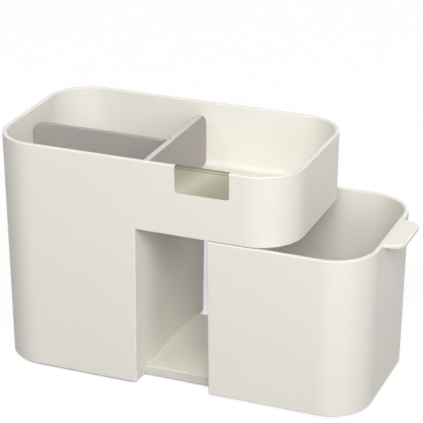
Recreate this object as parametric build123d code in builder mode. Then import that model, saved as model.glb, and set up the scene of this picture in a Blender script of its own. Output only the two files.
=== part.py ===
from build123d import *
from math import radians, tan
import os

os.makedirs("parts", exist_ok=True)

# Lengths are in millimetres and angles in degrees. X runs from the column to the drawer's tab,
# Y from front to back and Z up. The origin is on the table under the middle of the organizer,
# with the drawer pulled part of the way out.

# Body: a deep column at the left and a shallow tray over the drawer, with its outline given at the rim
body_length = 175.0
body_depth = 101.0
body_height = 133.0
body_corner = 25.0
body_wall = 2.5
body_draft = 0.65
column_length = 87.5
column_floor = 2.5
base_hollow = 10.5
tray_height = 40.0
tray_floor = 2.5

# Rounding of moulded edges
rim_round = 0.7
edge_round = 0.6
floor_round = 3.0
inner_corner = 4.0

# Clearances: between moving pieces, between fixed pieces, at a seam in view, and past a surface in a cut
slide_clearance = 0.3
fixed_clearance = 0.2
seam_gap = 0.1
overrun = 5.0

# Base plate: the cover under the column, standing a little below its edge, and the runner for the drawer
plate_drop = 1.0
plate_thickness = 5.5
plate_setback = 14.7
plate_skin = 2.0
plate_rim = 2.0
runner_length = 80.5
runner_corner = 5.0
rib_thickness = 1.4
rib_gap = 15.6
stop_setback = 8.0
stop_flat = 1.5
stop_ramp = 3.5
stop_width = 18.0

# Screws that hold the base plate to the bosses under the column's floor
left_screw_inset = 34.0
right_screw_inset = 13.5
screw_setback = 12.5
screw_diameter = 2.8
screw_length = 8.0
head_diameter = 5.6
head_height = 1.8
head_round = 0.6
head_sink = 2.2
boss_diameter = 7.5
screw_pad = 10.0

# Rubber feet, sunk in the base plate
foot_diameter = 12.0
foot_thickness = 2.2
foot_proud = 1.0
foot_round = 0.4
foot_pad = 16.0
left_foot_inset = 20.0
left_foot_setback = 22.5
right_foot_inset = 12.0
right_foot_setback = 12.8

# Drawer: an open box on the runner, flush with the tray, with a skirt close above the table
drawer_length = 87.2
drawer_corner = 25.0
drawer_wall = 2.5
drawer_floor = 2.2
drawer_draft = 1.0
drawer_gap = 0.4
drawer_opening = 41.1
drawer_top_gap = 0.5
skirt_gap = 2.8
skid_height = 1.0
skid_width = 2.0
skid_setback = 15.8
guide_thickness = 1.8
guide_lift = 0.6

# Pull tab at the drawer's rim, narrower at its end and drafted towards its underside
tab_reach = 10.8
tab_width = 38.5
tab_end_width = 32.5
tab_corner = 7.0
tab_thickness = 2.0
tab_draft = 9.0

# Edges of both dividers
divider_round = 0.5

# Cross divider between the column and the tray, with a groove for the low divider's tongue
cross_thickness = 3.4
cross_drop = 6.0
cross_corner = 8.0
groove_depth = 1.4
hook_thickness = 2.0
hook_length = 20.0
hook_width = 18.0
hook_setback = 21.5

# Low divider across the column, rebated at its right end to a tongue
low_thickness = 2.6
low_step = 0.9
low_corner = 6.6
low_end_gap = 0.7
tongue_thickness = 1.3
shoulder_gap = 2.4

# Badge plate, let into the front rim and bent over its top
badge_width = 30.4
badge_height = 15.0
badge_thickness = 0.6
badge_corner = 1.5
badge_bend = 1.4
badge_inset = 126.2

# Levels
plate_z = foot_proud
base_z = plate_z + plate_drop
rim_z = base_z + body_height
tray_z = rim_z - tray_height
tray_floor_z = tray_z + tray_floor
hollow_z = base_z + base_hollow
column_floor_z = hollow_z + column_floor
plate_top_z = plate_z + plate_thickness
drawer_rim_z = tray_z - drawer_top_gap
drawer_low_z = skirt_gap
skid_z = plate_top_z + slide_clearance
drawer_under_z = skid_z + skid_height
drawer_floor_z = drawer_under_z + drawer_floor
cross_foot_z = tray_floor_z + slide_clearance
cross_top_z = rim_z - cross_drop
low_foot_z = column_floor_z + slide_clearance
low_top_z = cross_top_z - low_step

# Places along X
left_x = -(column_length + drawer_gap + drawer_opening + drawer_length + tab_reach) / 2
body_x = left_x + body_length / 2
bay_x = left_x + column_length
runner_x = bay_x + runner_length
drawer_x = bay_x + drawer_gap + drawer_opening
drawer_right_x = drawer_x + drawer_length
badge_x = left_x + badge_inset

# Lean of the drafted walls, as inward travel for each unit of height
body_lean = tan(radians(body_draft))
drawer_lean = tan(radians(drawer_draft))
runner_half = body_depth / 2 - plate_setback


def front_y(z):
    return -body_depth / 2 + (rim_z - z) * body_lean


def inner_half_depth(z):
    return -front_y(z) - body_wall


def left_wall_x(z):
    return left_x + body_wall + (rim_z - z) * body_lean


def bay_outer_x(z):
    return bay_x - (tray_z - z) * body_lean


def bay_inner_x(z):
    return bay_outer_x(z) - body_wall


# Outline of the hollow under the column's floor, which the base plate closes
base_inset = body_height * body_lean + body_wall
base_right_x = bay_inner_x(base_z)
with BuildSketch(Plane.XY.offset(base_z)) as base_outline:
    with Locations((body_x, 0)):
        RectangleRounded(body_length - 2 * base_inset, body_depth - 2 * base_inset, body_corner - base_inset)
    with Locations((base_right_x, 0)):
        Rectangle(body_length, body_depth, align=(Align.MIN, Align.CENTER), mode=Mode.SUBTRACT)

screw_half = body_depth / 2 - screw_setback
screw_places = [
    (screw_x, side * screw_half)
    for screw_x in (left_x + left_screw_inset, bay_x - right_screw_inset)
    for side in (-1, 1)
]
left_foot_x = left_x + left_foot_inset
left_foot_half = body_depth / 2 - left_foot_setback
right_foot_x = runner_x - right_foot_inset
right_foot_half = runner_half - right_foot_setback
foot_places = {
    "foot_front_left": (left_foot_x, -left_foot_half),
    "foot_back_left": (left_foot_x, left_foot_half),
    "foot_front_right": (right_foot_x, -right_foot_half),
    "foot_back_right": (right_foot_x, right_foot_half),
}

# Space inside the body: the deep column, stepping up to the tray
with BuildPart() as body_space:
    with BuildSketch(Plane.XY.offset(rim_z)):
        with Locations((body_x, 0)):
            RectangleRounded(body_length - 2 * body_wall, body_depth - 2 * body_wall, body_corner - body_wall)
    extrude(amount=column_floor_z - rim_z, taper=body_draft)
    with BuildSketch(Plane.XZ):
        with BuildLine():
            Polyline(
                (bay_inner_x(tray_floor_z), tray_floor_z),
                (bay_inner_x(base_z), base_z),
                (left_x + body_length, base_z),
                (left_x + body_length, tray_floor_z),
                close=True,
            )
        make_face()
    extrude(amount=body_depth, both=True, mode=Mode.SUBTRACT)
    column_bottom, tray_bottom = body_space.faces().filter_by(Axis.Z).sort_by(Axis.Z)[:2]
    right_faces = body_space.faces().filter_by(lambda face: face.normal_at().X > 1 - body_lean)
    step_wall = right_faces.sort_by(Axis.Z)[0]
    step_corners = step_wall.edges().filter_by(Axis.Y, reverse=True)
    fillet(tray_bottom.edges().sort_by(Axis.X)[1:] + column_bottom.edges() + step_corners, floor_round)

# Seat of the badge in the front wall and over the top of the rim
with BuildPart() as badge_seat:
    seat_low_z = rim_z - badge_height - seam_gap
    seat_top_z = rim_z - badge_thickness
    with BuildSketch(Plane.YZ.offset(badge_x)):
        with BuildLine():
            Polyline(
                (front_y(rim_z) - overrun, seat_low_z),
                (front_y(seat_low_z) + badge_thickness, seat_low_z),
                (front_y(seat_top_z) + badge_thickness, seat_top_z),
                (front_y(rim_z) + body_wall + overrun, seat_top_z),
                (front_y(rim_z) + body_wall + overrun, rim_z + overrun),
                (front_y(rim_z) - overrun, rim_z + overrun),
                close=True,
            )
        make_face()
    extrude(amount=badge_width / 2 + seam_gap, both=True)
    fillet(badge_seat.edges().filter_by(Axis.Y).group_by(Axis.Z)[0], badge_corner + seam_gap)
    seat_edge = badge_seat.edges().filter_by(Axis.X).group_by(Axis.Z)[1].sort_by(Axis.Y)[0]
    fillet(seat_edge, badge_bend - badge_thickness)

with BuildPart() as body_shell:
    with BuildSketch(Plane.XY.offset(rim_z)):
        with Locations((body_x, 0)):
            RectangleRounded(body_length, body_depth, body_corner)
    extrude(amount=-body_height, taper=body_draft)
    # Bay for the drawer, under the tray
    with BuildSketch(Plane.XZ):
        with BuildLine():
            Polyline(
                (bay_x, tray_z),
                (bay_outer_x(base_z - overrun), base_z - overrun),
                (left_x + body_length + overrun, base_z - overrun),
                (left_x + body_length + overrun, tray_z),
                close=True,
            )
        make_face()
    extrude(amount=body_depth, both=True, mode=Mode.SUBTRACT)
    # Lower edges of the tray and the column, and the column's corners at the bay
    column_under, tray_under = body_shell.faces().filter_by(Axis.Z).sort_by(Axis.Z)[:2]
    right_faces = body_shell.faces().filter_by(lambda face: face.normal_at().X > 1 - body_lean)
    bay_wall = right_faces.sort_by(Axis.Z)[0]
    bay_corners = bay_wall.edges().filter_by(Axis.Y, reverse=True)
    fillet(tray_under.edges().sort_by(Axis.X)[1:] + column_under.edges() + bay_corners, edge_round)
    add(body_space.part, mode=Mode.SUBTRACT)
    fillet(body_shell.faces().sort_by(Axis.Z)[-1].edges(), rim_round)
    add(badge_seat.part, mode=Mode.SUBTRACT)
    # Hollow under the floor, with its screw bosses and the notch that the runner passes through
    extrude(base_outline.sketch, amount=base_hollow, mode=Mode.SUBTRACT)
    with BuildSketch(Plane.XY.offset(plate_top_z)):
        with Locations(*screw_places):
            Circle(boss_diameter / 2)
            Circle(screw_diameter / 2 + fixed_clearance / 2, mode=Mode.SUBTRACT)
    extrude(amount=hollow_z - plate_top_z)
    with BuildSketch(Plane.XY.offset(base_z)):
        with Locations((base_right_x - overrun, 0)):
            notch_length = bay_x - base_right_x + 2 * overrun
            notch_width = 2 * (runner_half + fixed_clearance)
            Rectangle(notch_length, notch_width, align=(Align.MIN, Align.CENTER))
    extrude(amount=plate_top_z + seam_gap - base_z, mode=Mode.SUBTRACT)
body_shell.part.label = "body_shell"
export_step(body_shell.part, "parts/body_shell.step")

with BuildPart() as base_plate:
    with BuildSketch(Plane.XY.offset(plate_z)) as plate_outline:
        add(base_outline.sketch_local)
        offset(amount=-fixed_clearance)
        with Locations((runner_x, 0)):
            runner_span = runner_x - base_right_x + overrun
            Rectangle(runner_span, 2 * runner_half, align=(Align.MAX, Align.CENTER))
        fillet(plate_outline.vertices().group_by(Axis.X)[-1], runner_corner)
    extrude(amount=plate_thickness)
    fillet(base_plate.faces().sort_by(Axis.Z)[-1].edges(), edge_round)
    # Ribs below the skin, with solid pads for the feet and the screws
    with BuildSketch(Plane.XY.offset(plate_z)):
        add(plate_outline.sketch_local)
        offset(amount=-plate_rim)
        plate_length = runner_x - left_x
        with Locations((left_x + plate_length / 2, 0)):
            rib_pitch = rib_gap + rib_thickness
            with GridLocations(rib_pitch, 0, int(plate_length // rib_pitch), 1):
                Rectangle(rib_thickness, body_depth, mode=Mode.SUBTRACT)
            with GridLocations(0, rib_pitch, 1, int(body_depth // rib_pitch)):
                Rectangle(plate_length, rib_thickness, mode=Mode.SUBTRACT)
        with Locations(*foot_places.values()):
            Circle(foot_pad / 2, mode=Mode.SUBTRACT)
        with Locations(*screw_places):
            Circle(screw_pad / 2, mode=Mode.SUBTRACT)
    extrude(amount=plate_thickness - plate_skin, mode=Mode.SUBTRACT)
    with BuildSketch(Plane.XY.offset(plate_z)):
        with Locations(*foot_places.values()):
            Circle(foot_diameter / 2 + fixed_clearance)
    extrude(amount=foot_thickness - foot_proud, mode=Mode.SUBTRACT)
    with BuildSketch(Plane.XY.offset(plate_z)):
        with Locations(*screw_places):
            Circle(head_diameter / 2 + fixed_clearance)
    extrude(amount=head_sink, mode=Mode.SUBTRACT)
    with BuildSketch(Plane.XY.offset(plate_z)):
        with Locations(*screw_places):
            Circle(screw_diameter / 2 + fixed_clearance)
    extrude(amount=plate_thickness, mode=Mode.SUBTRACT)
    # Stop that ends the drawer's travel, with a ramp to slide the drawer on
    stop_x = runner_x - stop_setback
    stop_top_z = drawer_under_z - slide_clearance
    with BuildSketch(Plane.XZ):
        with BuildLine():
            Polyline(
                (stop_x, plate_top_z),
                (stop_x, stop_top_z),
                (stop_x + stop_flat, stop_top_z),
                (stop_x + stop_flat + stop_ramp, plate_top_z),
                close=True,
            )
        make_face()
    extrude(amount=stop_width / 2, both=True)
base_plate.part.label = "base_plate"
export_step(base_plate.part, "parts/base_plate.step")

with BuildPart() as base_screws:
    head_z = plate_z + head_sink
    with BuildSketch(Plane.XY.offset(head_z)):
        with Locations(*screw_places):
            Circle(head_diameter / 2)
    extrude(amount=-head_height)
    fillet(base_screws.edges().group_by(Axis.Z)[0], head_round)
    with BuildSketch(Plane.XY.offset(head_z)):
        with Locations(*screw_places):
            Circle(screw_diameter / 2)
    extrude(amount=screw_length)
    chamfer(base_screws.edges().group_by(Axis.Z)[-1], screw_diameter / 4)
base_screws.part.label = "base_screws"
export_step(base_screws.part, "parts/base_screws.step")

for foot_name, foot_place in foot_places.items():
    with BuildPart() as foot:
        with BuildSketch(Plane.XY):
            with Locations(foot_place):
                Circle(foot_diameter / 2)
        extrude(amount=foot_thickness)
        fillet(foot.edges().group_by(Axis.Z)[0], foot_round)
    foot.part.label = foot_name
    export_step(foot.part, f"parts/{foot_name}.step")

drawer_depth = body_depth - 2 * tray_height * body_lean
skirt_inset = (drawer_rim_z - drawer_low_z) * drawer_lean + drawer_wall
with BuildPart() as drawer:
    # Drafted block with a flat left end
    with BuildSketch(Plane.XY.offset(drawer_rim_z)) as drawer_outline:
        with Locations((drawer_right_x, 0)):
            Rectangle(drawer_length + overrun, drawer_depth, align=(Align.MAX, Align.CENTER))
        fillet(drawer_outline.vertices().group_by(Axis.X)[-1], drawer_corner)
    extrude(amount=drawer_low_z - drawer_rim_z, taper=drawer_draft)
    split(bisect_by=Plane.YZ.offset(drawer_x), keep=Keep.TOP)
    drawer_end = drawer.faces().sort_by(Axis.X)[0]
    # Pull tab, and the outer edges all round
    with BuildSketch(Plane.XY.offset(drawer_rim_z)) as tab_outline:
        with BuildLine():
            Polyline(
                (drawer_right_x - drawer_wall, -tab_width / 2),
                (drawer_right_x + tab_reach, -tab_end_width / 2),
                (drawer_right_x + tab_reach, tab_end_width / 2),
                (drawer_right_x - drawer_wall, tab_width / 2),
                close=True,
            )
        make_face()
        fillet(tab_outline.vertices().group_by(Axis.X)[-1], tab_corner)
    extrude(amount=-tab_thickness, taper=tab_draft)
    drawer_top = drawer.faces().sort_by(Axis.Z)[-1]
    drawer_under = drawer.faces().sort_by(Axis.Z)[0]
    end_edges = drawer_end.edges().filter_by(Axis.Y, reverse=True)
    fillet(drawer_top.edges() + drawer_under.edges() + end_edges, rim_round)
    # Inside of the box
    with BuildSketch(Plane.XY.offset(drawer_rim_z)) as drawer_inside:
        with Locations((drawer_x + drawer_wall, 0)):
            inside_length = drawer_length - 2 * drawer_wall
            Rectangle(inside_length, drawer_depth - 2 * drawer_wall, align=(Align.MIN, Align.CENTER))
        fillet(drawer_inside.vertices().group_by(Axis.X)[-1], drawer_corner - drawer_wall)
        fillet(drawer_inside.vertices().group_by(Axis.X)[0], inner_corner)
    extrude(amount=drawer_floor_z - drawer_rim_z, taper=drawer_draft, mode=Mode.SUBTRACT)
    fillet(drawer.faces().filter_by(Axis.Z).sort_by(Axis.Z)[1].edges(), floor_round)
    fillet(drawer.faces().sort_by(Axis.Z)[-1].inner_wires()[0].edges(), rim_round)
    # Hollow inside the skirt
    with BuildSketch(Plane.XY.offset(drawer_low_z)) as skirt_inside:
        with Locations((drawer_x + drawer_wall, 0)):
            skirt_length = drawer_length - drawer_wall - skirt_inset
            Rectangle(skirt_length, drawer_depth - 2 * skirt_inset, align=(Align.MIN, Align.CENTER))
        fillet(skirt_inside.vertices().group_by(Axis.X)[-1], drawer_corner - skirt_inset)
    extrude(amount=drawer_under_z - drawer_low_z, mode=Mode.SUBTRACT)
    # Guides beside the runner and skids on top of it
    guide_z = drawer_low_z + guide_lift
    guide_length = drawer_length - drawer_wall - drawer_corner
    with BuildSketch(Plane.XY.offset(guide_z)):
        with Locations((drawer_x + drawer_wall, 0)):
            with GridLocations(0, 2 * (runner_half + slide_clearance) + guide_thickness, 1, 2):
                Rectangle(guide_length, guide_thickness, align=(Align.MIN, Align.CENTER))
    extrude(amount=drawer_under_z - guide_z)
    with BuildSketch(Plane.XY.offset(skid_z)):
        with Locations((drawer_x + drawer_wall, 0)):
            with GridLocations(0, 2 * (runner_half - skid_setback), 1, 2):
                Rectangle(skirt_length, skid_width, align=(Align.MIN, Align.CENTER))
    extrude(amount=skid_height)
    # Notch in the left end for the runner
    with BuildSketch(Plane.XY.offset(drawer_low_z)):
        with Locations((drawer_x, 0)):
            Rectangle(2 * drawer_wall, 2 * (runner_half + slide_clearance))
    extrude(amount=skid_z - drawer_low_z, mode=Mode.SUBTRACT)
drawer.part.label = "drawer"
export_step(drawer.part, "parts/drawer.step")

tongue_y = (low_thickness - tongue_thickness) / 2
with BuildPart() as cross_divider:
    cross_left_x = bay_x - cross_thickness / 2
    low_half = inner_half_depth(cross_foot_z) - slide_clearance
    top_half = inner_half_depth(cross_top_z) - slide_clearance
    with BuildSketch(Plane.YZ.offset(cross_left_x)) as cross_face:
        with BuildLine():
            Polyline(
                (-low_half, cross_foot_z),
                (low_half, cross_foot_z),
                (top_half, cross_top_z),
                (-top_half, cross_top_z),
                close=True,
            )
        make_face()
        fillet(cross_face.vertices().group_by(Axis.Y)[-1], cross_corner)
        fillet(cross_face.vertices().group_by(Axis.Y)[0], floor_round + slide_clearance)
    extrude(amount=cross_thickness)
    fillet(cross_divider.faces().filter_by(Axis.X).edges(), divider_round)
    # Groove for the low divider's tongue
    with BuildSketch(Plane.XY.offset(cross_foot_z)):
        with Locations((cross_left_x, tongue_y)):
            Rectangle(2 * groove_depth, tongue_thickness + 2 * slide_clearance)
    extrude(amount=cross_top_z - cross_foot_z, mode=Mode.SUBTRACT)
    # Hooks that reach down inside the column's wall
    hook_x = bay_inner_x(tray_floor_z - hook_length) - slide_clearance
    hook_half = body_depth / 2 - hook_setback
    for hook_y in (-hook_half, hook_half):
        with BuildSketch(Plane.XZ.offset(-hook_y)):
            with BuildLine():
                Polyline(
                    (hook_x, tray_floor_z - hook_length),
                    (hook_x, cross_foot_z),
                    (bay_x, cross_foot_z),
                    (bay_x, cross_foot_z + hook_thickness),
                    (hook_x - hook_thickness, cross_foot_z + hook_thickness),
                    (hook_x - hook_thickness, tray_floor_z - hook_length),
                    close=True,
                )
            make_face()
        extrude(amount=hook_width / 2, both=True)
cross_divider.part.label = "cross_divider"
export_step(cross_divider.part, "parts/cross_divider.step")

with BuildPart() as low_divider:
    low_right_x = cross_left_x + groove_depth - slide_clearance
    with BuildSketch(Plane.XZ) as low_face:
        with BuildLine():
            Polyline(
                (left_wall_x(low_foot_z) + low_end_gap, low_foot_z),
                (bay_inner_x(low_foot_z) - slide_clearance, low_foot_z),
                (bay_inner_x(cross_foot_z) - slide_clearance, cross_foot_z),
                (low_right_x, cross_foot_z),
                (low_right_x, low_top_z),
                (left_wall_x(low_top_z) + low_end_gap, low_top_z),
                close=True,
            )
        make_face()
        fillet(low_face.vertices().group_by(Axis.Y)[-1].sort_by(Axis.X)[0], low_corner)
        fillet(low_face.vertices().group_by(Axis.Y)[0], floor_round + slide_clearance)
    extrude(amount=low_thickness / 2, both=True)
    fillet(low_divider.faces().filter_by(Axis.Y).edges(), divider_round)
    # Rebate in front of the tongue, which keeps its shoulder clear of the cross divider
    with BuildSketch(Plane.XY.offset(cross_foot_z)):
        with Locations((cross_left_x - shoulder_gap, tongue_y - tongue_thickness / 2)):
            Rectangle(shoulder_gap + overrun, low_thickness, align=(Align.MIN, Align.MAX))
    extrude(amount=low_top_z - cross_foot_z, mode=Mode.SUBTRACT)
low_divider.part.label = "low_divider"
export_step(low_divider.part, "parts/low_divider.step")

with BuildPart() as badge_plate:
    badge_low_z = rim_z - badge_height
    with BuildSketch(Plane.YZ.offset(badge_x)):
        with BuildLine():
            Polyline(
                (front_y(badge_low_z), badge_low_z),
                (front_y(rim_z), rim_z),
                (front_y(rim_z) + body_wall, rim_z),
                (front_y(rim_z) + body_wall, seat_top_z),
                (front_y(seat_top_z) + badge_thickness, seat_top_z),
                (front_y(badge_low_z) + badge_thickness, badge_low_z),
                close=True,
            )
        make_face()
    extrude(amount=badge_width / 2, both=True)
    fillet(badge_plate.edges().filter_by(Axis.Y).group_by(Axis.Z)[0], badge_corner)
    inner_edge = badge_plate.edges().filter_by(Axis.X).group_by(Axis.Z)[1].sort_by(Axis.Y)[0]
    fillet(inner_edge, badge_bend - badge_thickness)
    outer_edge = badge_plate.edges().filter_by(Axis.X).group_by(Axis.Z)[-1].sort_by(Axis.Y)[0]
    fillet(outer_edge, badge_bend)
badge_plate.part.label = "badge_plate"
export_step(badge_plate.part, "parts/badge_plate.step")
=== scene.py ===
import math

import bmesh
import bpy
from mathutils import Matrix, Vector


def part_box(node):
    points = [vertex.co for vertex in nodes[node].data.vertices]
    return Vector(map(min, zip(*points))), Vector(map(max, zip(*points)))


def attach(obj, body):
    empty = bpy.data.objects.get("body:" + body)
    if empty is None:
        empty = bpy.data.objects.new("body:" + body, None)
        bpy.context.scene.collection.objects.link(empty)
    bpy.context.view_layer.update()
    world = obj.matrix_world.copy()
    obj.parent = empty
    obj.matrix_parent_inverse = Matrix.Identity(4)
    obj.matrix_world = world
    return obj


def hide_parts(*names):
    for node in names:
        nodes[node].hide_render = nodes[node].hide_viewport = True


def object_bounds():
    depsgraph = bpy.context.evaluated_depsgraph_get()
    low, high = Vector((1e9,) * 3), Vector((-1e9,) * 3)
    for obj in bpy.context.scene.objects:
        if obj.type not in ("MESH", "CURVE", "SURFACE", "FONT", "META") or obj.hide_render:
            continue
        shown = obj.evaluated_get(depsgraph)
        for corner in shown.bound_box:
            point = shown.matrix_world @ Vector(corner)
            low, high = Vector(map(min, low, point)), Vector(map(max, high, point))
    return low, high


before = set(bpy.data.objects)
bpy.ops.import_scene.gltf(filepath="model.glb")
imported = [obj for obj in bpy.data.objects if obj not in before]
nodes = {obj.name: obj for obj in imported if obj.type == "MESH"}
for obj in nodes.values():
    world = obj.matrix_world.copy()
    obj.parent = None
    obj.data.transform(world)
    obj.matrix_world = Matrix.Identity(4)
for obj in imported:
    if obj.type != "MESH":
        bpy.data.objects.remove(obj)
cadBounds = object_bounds()
bpy.ops.object.select_all(action="DESELECT")  # the loaded nodes come in selected
print("frame loaded with", len(nodes), "nodes")


def linear(red, green, blue):
    # screen colour, 0 to 255, as the linear colour that shaders use
    steps = [channel / 255 for channel in (red, green, blue)]
    return tuple(s / 12.92 if s <= 0.04045 else ((s + 0.055) / 1.055) ** 2.4 for s in steps) + (1.0,)


class Value:
    # a socket that can be used in sums: each operator adds a Math node
    def __init__(self, finish, socket):
        self.finish = finish
        self.socket = socket

    def math(self, operation, first, second):
        return self.finish.node("ShaderNodeMath", {"operation": operation}, {0: first, 1: second})

    def __add__(self, other):
        return self.math("ADD", self, other)

    def __sub__(self, other):
        return self.math("SUBTRACT", self, other)

    def __rsub__(self, other):
        return self.math("SUBTRACT", other, self)

    def __mul__(self, other):
        return self.math("MULTIPLY", self, other)

    def __truediv__(self, other):
        return self.math("DIVIDE", self, other)

    def __rtruediv__(self, other):
        return self.math("DIVIDE", other, self)

    __radd__ = __add__
    __rmul__ = __mul__


class Finish:
    # one material or world and its nodes
    def __init__(self, name, kind="materials"):
        self.owner = getattr(bpy.data, kind).new(name)
        self.owner.use_nodes = True
        self.tree = self.owner.node_tree
        self.tree.nodes.clear()

    def pick(self, sockets, key):
        if isinstance(key, int):
            return sockets[key]
        return next(s for s in sockets if key in (s.identifier, s.name))

    def node(self, kind, settings=None, sockets=None, out=0):
        made = self.tree.nodes.new(kind)
        for key, value in (settings or {}).items():
            setattr(made, key, value)
        for key, value in (sockets or {}).items():
            socket = self.pick(made.inputs, key)
            if isinstance(value, Value):
                self.tree.links.new(value.socket, socket)
            else:
                socket.default_value = value
        return Value(self, self.pick(made.outputs, out)) if len(made.outputs) else made

    def place(self):
        return self.node("ShaderNodeTexCoord", out="Object")

    def part(self, vector, axis):
        return self.node("ShaderNodeSeparateXYZ", None, {"Vector": vector}, out=axis)

    def clamped(self, value):
        return self.node("ShaderNodeClamp", None, {"Value": value})

    def larger(self, first, second):
        return self.node("ShaderNodeMath", {"operation": "MAXIMUM"}, {0: first, 1: second})

    def stretched(self, scale):
        return self.node("ShaderNodeMapping", None, {"Vector": self.place(), "Scale": scale})

    def noise(self, vector, scale, detail=2.0, roughness=0.5):
        wanted = {"Vector": vector, "Scale": scale, "Detail": detail, "Roughness": roughness}
        return self.node("ShaderNodeTexNoise", {"noise_dimensions": "3D"}, wanted, out="Fac")

    def blend(self, share, first, second):
        wanted = {"Factor_Float": share, "A_Color": first, "B_Color": second}
        return self.node("ShaderNodeMix", {"data_type": "RGBA"}, wanted, out="Result_Color")

    def sway(self, noise, spread):
        # a noise from 0 to 1 as a swing to both sides of zero
        return (noise - 0.5) * spread

    def bump(self, height, strength, distance):
        wanted = {"Height": height, "Strength": strength, "Distance": distance}
        return self.node("ShaderNodeBump", None, wanted)

    def surface(self, sockets):
        shader = self.node("ShaderNodeBsdfPrincipled", None, sockets)
        self.node("ShaderNodeOutputMaterial", None, {"Surface": shader})
        return self.owner


plastic = {
    "ivory": linear(236, 233, 225),
    "ivoryDeep": linear(232, 229, 220),  # where the moulding flowed slower
    "paintedShadeIvory": linear(222, 219, 210),  # painted shade: the body's ivory made deeper for the base plate, which sits in the shade under the tray
    "paintedShadeIvoryDeep": linear(218, 215, 205),
    # partly painted shade: this grey is deeper than the plastic's own, standing in for the shade that
    # things kept in the compartments cast on the dividers
    "grey": linear(168, 163, 159),
    "greyDeep": linear(163, 158, 153),
    "flowScale": 16.0,  # soft clouds a few centimetres wide
    "flowDetail": 3.0,
    "flowShare": 0.75,  # of the colour's change, the rest follows the spark texture
    "sparkScale": 2600.0,  # eroded steel texture of the mould
    "sparkRoughness": 0.6,
    "sparkStrength": 0.16,
    "sparkDepth": 0.00003,
    "scuffScale": 144.0,
    "scuffDetail": 4.0,
    "scuffStretch": (1.0, 1.0, 0.35),  # drawn out up and down
    "roughness": 0.52,
    "flowSpread": 0.10,
    "scuffSpread": 0.06,
    "paintedTopHighlight": linear(216, 211, 207),  # painted highlight: the divider's top edge made lighter, as light from above falls on it
    "polishAndHighlightDepth": 0.0006,
    "polishRoughness": 0.12,
    "scuffShare": 0.2,  # share that the scuffs take off
    "ior": 1.47,
    "specular": 0.35,
}


def mouldedPlastic(name, pale, deep, edge=None):
    # edge is the height of the top, where the piece has one; a band below it gets lower roughness and a
    # painted highlight
    finish = Finish(name)
    place = finish.place()
    flow = finish.noise(place, plastic["flowScale"], detail=plastic["flowDetail"])
    spark = finish.noise(place, plastic["sparkScale"], roughness=plastic["sparkRoughness"])
    scuffPlace = finish.stretched(plastic["scuffStretch"])
    scuff = finish.noise(scuffPlace, plastic["scuffScale"], detail=plastic["scuffDetail"])
    rough = plastic["roughness"] + finish.sway(flow, plastic["flowSpread"])
    rough = rough + finish.sway(scuff, plastic["scuffSpread"])
    mottle = flow * plastic["flowShare"] + spark * (1.0 - plastic["flowShare"])
    colour = finish.blend(mottle, pale, deep)
    if edge:
        # painted highlight with lower roughness in a band under the top, broken up by the scuffs
        depth = (edge - finish.part(place, "Z")) / plastic["polishAndHighlightDepth"]
        unscuffed = 1.0 - plastic["scuffShare"] + scuff * plastic["scuffShare"]
        polishAndHighlight = finish.clamped(1.0 - depth) * unscuffed
        colour = finish.blend(polishAndHighlight, colour, plastic["paintedTopHighlight"])
        rough = rough - polishAndHighlight * plastic["polishRoughness"]
    return finish.surface({
        "Base Color": colour,
        "Roughness": rough,
        "Normal": finish.bump(spark, plastic["sparkStrength"], plastic["sparkDepth"]),
        "IOR": plastic["ior"],
        "Specular IOR Level": plastic["specular"],
    })


badge = {
    # pale is the colour of the painted sheen band and of the light streaks, deep the metal beside them
    "pale": linear(205, 204, 182),
    "deep": linear(160, 159, 137),
    "shade": linear(104, 102, 86),  # painted dark reflection along the bend over the rim
    "streaks": (40.0, 900.0, 2600.0),  # drawn out along the plate
    "streakDetail": 3.0,
    "streakRoughness": 0.65,
    "streakShare": 0.3,
    "roughness": 0.34,
    "roughnessSpread": 0.2,
    "strength": 0.12,
    "depth": 0.00002,
    "bend": 0.0016,  # height of the painted dark reflection below the plate's top
    "bendFade": 0.4,  # share of that height over which it comes in
    "sheenSlope": 0.70,  # the painted sheen band leans from the lower left to the upper right
    "sheenStart": 0.05,
    "sheenWidth": 0.30,
    "sheenShare": 0.85,
    "shadeReach": 0.65,
    "shadeLeast": 0.7,  # what is left of it past that reach
}


def brushedChampagnePaintedReflections():
    finish = Finish("brushedChampagnePaintedReflections")
    low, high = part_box("badge_plate")
    place = finish.place()
    across = (finish.part(place, "X") - low.x) / (high.x - low.x)
    height = finish.part(place, "Z")
    rise = (height - low.z) / (high.z - low.z)
    # painted sheen: a pale band across the plate that stands in for a reflection
    offset = (across - badge["sheenStart"] - rise * badge["sheenSlope"]) / badge["sheenWidth"]
    sheen = 1.0 / (1.0 + offset * offset)
    drawn = finish.stretched(badge["streaks"])
    streaks = finish.noise(drawn, 1.0, detail=badge["streakDetail"], roughness=badge["streakRoughness"])
    # painted dark reflection along the bend, full at the left and weaker past shadeReach
    bend = finish.clamped((height - (high.z - badge["bend"])) / (badge["bend"] * badge["bendFade"]))
    fade = finish.clamped(1.0 - across / badge["shadeReach"])
    shade = bend * (badge["shadeLeast"] + fade * (1.0 - badge["shadeLeast"]))
    lit = sheen * badge["sheenShare"] + finish.sway(streaks, badge["streakShare"])
    streaksAndPaintedSheen = finish.blend(lit, badge["deep"], badge["pale"])
    return finish.surface({
        "Base Color": finish.blend(shade, streaksAndPaintedSheen, badge["shade"]),
        "Metallic": 1.0,
        "Roughness": badge["roughness"] + finish.sway(streaks, badge["roughnessSpread"]),
        "Normal": finish.bump(streaks, badge["strength"], badge["depth"]),
    })


zinc = {
    "bright": linear(190, 190, 192),
    "dull": linear(165, 164, 160),
    "grainScale": 1400.0,
    "grainDetail": 3.0,
    "stainScale": 260.0,
    "roughness": 0.28,
    "roughnessSpread": 0.16,
    "strength": 0.08,
    "depth": 0.00002,
}


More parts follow.
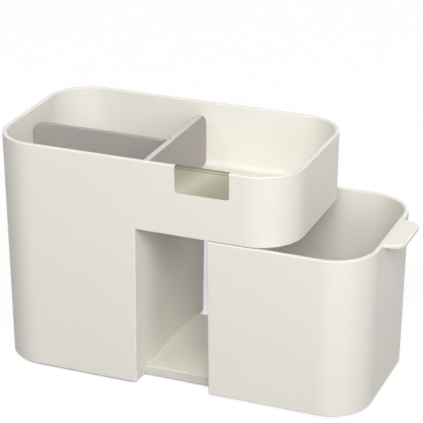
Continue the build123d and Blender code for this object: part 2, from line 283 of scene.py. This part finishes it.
def zincSteel():
    finish = Finish("zincSteel")
    place = finish.place()
    grain = finish.noise(place, zinc["grainScale"], detail=zinc["grainDetail"])
    stain = finish.noise(place, zinc["stainScale"])
    return finish.surface({
        "Base Color": finish.blend(stain, zinc["bright"], zinc["dull"]),
        "Metallic": 1.0,
        "Roughness": zinc["roughness"] + grain * zinc["roughnessSpread"],
        "Normal": finish.bump(grain, zinc["strength"], zinc["depth"]),
    })


pad = {
    "dark": linear(112, 110, 106),
    "dusty": linear(136, 134, 129),
    "grainScale": 1900.0,
    "grainRoughness": 0.7,
    "dustScale": 150.0,
    "detail": 3.0,
    "roughness": 0.74,
    "roughnessSpread": 0.14,
    "strength": 0.25,
    "depth": 0.00005,
    "specular": 0.3,
}


def footRubber():
    finish = Finish("footRubber")
    place = finish.place()
    grain = finish.noise(place, pad["grainScale"], detail=pad["detail"], roughness=pad["grainRoughness"])
    dust = finish.noise(place, pad["dustScale"], detail=pad["detail"])
    return finish.surface({
        "Base Color": finish.blend(dust, pad["dark"], pad["dusty"]),
        "Roughness": pad["roughness"] + dust * pad["roughnessSpread"],
        "Normal": finish.bump(grain, pad["strength"], pad["depth"]),
        "Specular IOR Level": pad["specular"],
    })


ivory = mouldedPlastic("ivoryPlastic", plastic["ivory"], plastic["ivoryDeep"])
paintedShadeIvory = mouldedPlastic("paintedShadeIvoryPlastic", plastic["paintedShadeIvory"], plastic["paintedShadeIvoryDeep"])
grey = mouldedPlastic("greyPlastic", plastic["grey"], plastic["greyDeep"])
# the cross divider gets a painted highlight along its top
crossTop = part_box("cross_divider")[1].z
greyPolishedAndPaintedTop = mouldedPlastic("greyPolishedAndPaintedTop", plastic["grey"], plastic["greyDeep"], crossTop)
champagne = brushedChampagnePaintedReflections()
steel = zincSteel()
rubber = footRubber()
finishes = {
    "body_shell": ivory,
    "base_plate": paintedShadeIvory,
    "drawer": ivory,
    "cross_divider": greyPolishedAndPaintedTop,
    "low_divider": grey,
    "badge_plate": champagne,
    "base_screws": steel,
    "foot_front_left": rubber,
    "foot_front_right": rubber,
    "foot_back_left": rubber,
    "foot_back_right": rubber,
}
for name, material in finishes.items():
    for slot in nodes[name].material_slots:
        slot.material = material
print("finishes set on", len(finishes), "nodes")


screw = {
    "sides": 40,
    "headRadius": 0.0028,
    "headHeight": 0.0018,
    "headRound": 0.0006,
    "headSegments": 4,
    "coreRadius": 0.00105,
    "threadRadius": 0.0014,
    "neck": 0.001,
    "pitch": 0.001,
    "turns": 6,
    "flank": 0.4,  # share of the pitch that each side of a ridge takes
    "crest": 0.2,  # and its flat top
    "tip": 0.001,
    "tipWidth": 0.3,  # share of the core that is left at the point
    "recessLength": 0.0032,
    "recessWidth": 0.0008,
    "recessDepth": 0.0011,
    "recessFloor": 0.55,  # the driver's slot narrows to this share
    "facing": 0.9,  # how squarely a picked face looks up or down
    "smoothAngle": math.radians(35),
}


def selectFaces(piece, wanted):
    # leaves the piece in edit mode with only the wanted faces selected
    bpy.ops.object.mode_set(mode="EDIT")
    bpy.ops.mesh.select_mode(type="FACE")
    bpy.ops.mesh.select_all(action="DESELECT")
    mesh = bmesh.from_edit_mesh(piece.data)
    for face in mesh.faces:
        face.select_set(wanted(face))
    bmesh.update_edit_mesh(piece.data)


def selectTop(piece):
    selectFaces(piece, lambda face: face.normal.z > screw["facing"])


def selectUnderside(piece):
    selectFaces(piece, lambda face: face.normal.z < -screw["facing"])


def widen(share):
    # widens or narrows what is selected about the screw's axis
    bpy.ops.transform.resize(value=(share, share, 1.0), center_override=(0.0, 0.0, 0.0))


def pullUp(height, share):
    # extrudes the selected faces along the screw and widens or narrows their new end
    bpy.ops.mesh.extrude_region_move(TRANSFORM_OT_translate={"value": (0.0, 0.0, height)})
    widen(share)


def crossRecess(faceHeight):
    # cutter for the driver's cross, two tapered bars
    bars = []
    for turn in (0.0, math.pi / 2):
        bpy.ops.object.select_all(action="DESELECT")
        bpy.ops.mesh.primitive_cube_add(size=1.0, location=(0.0, 0.0, faceHeight))
        bar = bpy.context.object
        bar.scale = (screw["recessLength"], screw["recessWidth"], 2 * screw["recessDepth"])
        bar.rotation_euler = (0.0, 0.0, turn)
        bpy.ops.object.transform_apply(location=True, rotation=True, scale=True)
        selectTop(bar)
        widen(screw["recessFloor"])
        bpy.ops.object.mode_set(mode="OBJECT")
        bars.append(bar)
    return bars


def baseScrew(lowest):
    # one screw on the Z axis, its head facing down
    bpy.ops.object.select_all(action="DESELECT")
    middle = (0.0, 0.0, lowest + screw["headHeight"] / 2)
    bpy.ops.mesh.primitive_cylinder_add(
        vertices=screw["sides"], radius=screw["headRadius"], depth=screw["headHeight"], location=middle)
    piece = bpy.context.object
    bpy.ops.object.transform_apply(location=True, rotation=True, scale=True)
    selectUnderside(piece)
    bpy.ops.mesh.bevel(offset=screw["headRound"], segments=screw["headSegments"], affect="EDGES")
    selectTop(piece)
    bpy.ops.mesh.inset(thickness=screw["headRadius"] - screw["coreRadius"])
    pullUp(screw["neck"], 1.0)
    ridge = screw["threadRadius"] / screw["coreRadius"]
    for turn in range(screw["turns"]):
        pullUp(screw["pitch"] * screw["flank"], ridge)
        pullUp(screw["pitch"] * screw["crest"], 1.0)
        pullUp(screw["pitch"] * screw["flank"], 1.0 / ridge)
    pullUp(screw["tip"], screw["tipWidth"])
    bpy.ops.object.mode_set(mode="OBJECT")
    for bar in crossRecess(lowest):
        cut = piece.modifiers.new("driverCross", "BOOLEAN")
        cut.object = bar
        cut.solver = "EXACT"
        bpy.context.view_layer.objects.active = piece
        bpy.ops.object.modifier_apply(modifier=cut.name)
        bpy.data.objects.remove(bar)
    bpy.ops.object.select_all(action="DESELECT")
    piece.select_set(True)
    bpy.ops.object.shade_smooth_by_angle(angle=screw["smoothAngle"])
    return piece


def placeScrews():
    low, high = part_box("base_screws")
    reach = screw["headRadius"]
    first = baseScrew(low.z)
    first.data.materials.clear()
    first.data.materials.append(steel)
    pieces = []
    for side, y in (("Front", low.y + reach), ("Back", high.y - reach)):
        for end, x in (("Left", low.x + reach), ("Right", high.x - reach)):
            piece = first.copy()
            piece.data = first.data.copy()
            piece.name = "baseScrew" + side + end
            bpy.context.scene.collection.objects.link(piece)
            piece.data.transform(Matrix.Translation((x, y, 0.0)))
            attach(piece, "body")
            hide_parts("base_screws")
            pieces.append(piece)
    bpy.data.objects.remove(first)
    return pieces


screws = placeScrews()
print("base screws made:", len(screws), "of", len(screws[0].data.polygons), "faces each")


studio = {
    "white": linear(255, 255, 255),  # what the camera sees of floor and backdrop
    "worldStrength": 0.02,
    "floorSize": 8.0,
    "floorColour": linear(156, 156, 156),  # what the organizer gets back from the floor
    "floorGrain": 40.0,
    "floorGlow": 0.92,  # share of plain white in what is seen, the rest shows the shadow
    "contactReach": 0.002,  # the dark line where the organizer nearly touches the floor
    "contactSamples": 16,
    "shadowPlace": (-0.03, 0.09),  # behind the open bay
    "shadowReach": (0.10, 0.12),
    "shadowCore": 1.4,  # widens its even middle
    "shadowDepth": 0.5,  # how much more of the shadow shows there
    "lampDistance": 1.6,
}


def whiteRays(finish):
    # one for rays that see the backdrop, straight or in a reflection
    straight = finish.node("ShaderNodeLightPath", out="Is Camera Ray")
    glossy = finish.node("ShaderNodeLightPath", out="Is Glossy Ray")
    through = finish.node("ShaderNodeLightPath", out="Is Transmission Ray")
    return finish.larger(finish.larger(straight, glossy), through)


def floorShadow(finish, place):
    # one where the floor shows more of the organizer's own shadow
    (shadowX, shadowY), (reachX, reachY) = studio["shadowPlace"], studio["shadowReach"]
    along = (finish.part(place, "X") - shadowX) / reachX
    behind = (finish.part(place, "Y") - shadowY) / reachY
    return finish.clamped(studio["shadowCore"] - along * along - behind * behind)


def studioFloor():
    bpy.ops.mesh.primitive_plane_add(size=studio["floorSize"])
    floor = bpy.context.object
    floor.name = "studioFloor"
    finish = Finish("studioFloor")
    place = finish.place()
    seen = whiteRays(finish)
    colour = finish.blend(seen, studio["floorColour"], studio["white"])
    grain = finish.noise(place, studio["floorGrain"])
    matt = finish.node("ShaderNodeBsdfDiffuse", None, {"Color": colour, "Roughness": grain})
    glow = finish.node("ShaderNodeEmission", None, {"Strength": 1.0})
    contact = finish.node(
        "ShaderNodeAmbientOcclusion", {"samples": studio["contactSamples"]},
        {"Distance": studio["contactReach"]}, out="AO")
    share = seen * contact * (studio["floorGlow"] - floorShadow(finish, place) * studio["shadowDepth"])
    mixed = finish.node("ShaderNodeMixShader", None, {0: share, 1: matt, 2: glow})
    finish.node("ShaderNodeOutputMaterial", None, {"Surface": mixed})
    floor.data.materials.append(finish.owner)


def studioWorld():
    finish = Finish("studioWorld", "worlds")
    dim = studio["worldStrength"]
    strength = dim + whiteRays(finish) * (1.0 - dim)
    background = finish.node("ShaderNodeBackground", None, {"Color": studio["white"], "Strength": strength})
    finish.node("ShaderNodeOutputWorld", None, {"Surface": background})
    bpy.context.scene.world = finish.owner


lamps = {
    "keySoftbox": {"azimuth": 23.0, "elevation": 38.0, "size": 0.9, "power": 19.0},
    "rightSoftbox": {"azimuth": 60.0, "elevation": 22.0, "size": 0.8, "power": 7.8},
    "leftSoftbox": {"azimuth": -33.0, "elevation": 42.0, "size": 0.8, "power": 5.0},
    "leftRearSoftbox": {"azimuth": -120.0, "elevation": 45.0, "size": 0.8, "power": 6.3},
    "rightRearSoftbox": {"azimuth": 140.0, "elevation": 30.0, "size": 0.8, "power": 3.0},
    "backSoftbox": {"azimuth": 178.0, "elevation": 6.0, "size": 0.45, "power": 9.6},
}


def directionFrom(azimuth, elevation):
    # azimuth 0 is in front of the organizer, 90 at its right end
    turn, rise = math.radians(azimuth), math.radians(elevation)
    return Vector((math.sin(turn) * math.cos(rise), -math.cos(turn) * math.cos(rise), math.sin(rise)))


def addLamp(name, lamp):
    data = bpy.data.lights.new(name, "AREA")
    data.shape = "DISK"
    data.size = lamp["size"]
    data.energy = lamp["power"]
    holder = bpy.data.objects.new(name, data)
    bpy.context.scene.collection.objects.link(holder)
    away = directionFrom(lamp["azimuth"], lamp["elevation"])
    low, high = cadBounds
    holder.location = (low + high) / 2 + away * studio["lampDistance"]
    holder.rotation_euler = away.to_track_quat("Z", "Y").to_euler()


view = {
    "eye": Vector((0.34643, -0.86284, 0.48297)),
    "target": Vector((-0.00204, 0.0, 0.08955)),
    "lens": 155.3,
    "sensor": 36.0,
}


def addCamera():
    data = bpy.data.cameras.new("photoCamera")
    data.lens = view["lens"]
    data.sensor_width = view["sensor"]
    camera = bpy.data.objects.new("photoCamera", data)
    bpy.context.scene.collection.objects.link(camera)
    camera.location = view["eye"]
    camera.rotation_euler = (view["eye"] - view["target"]).to_track_quat("Z", "Y").to_euler()
    bpy.context.scene.camera = camera


studioFloor()
studioWorld()
for name, lamp in lamps.items():
    addLamp(name, lamp)
addCamera()
bpy.context.scene.view_settings.view_transform = "Standard"
print("studio set with", len(lamps), "lamps")
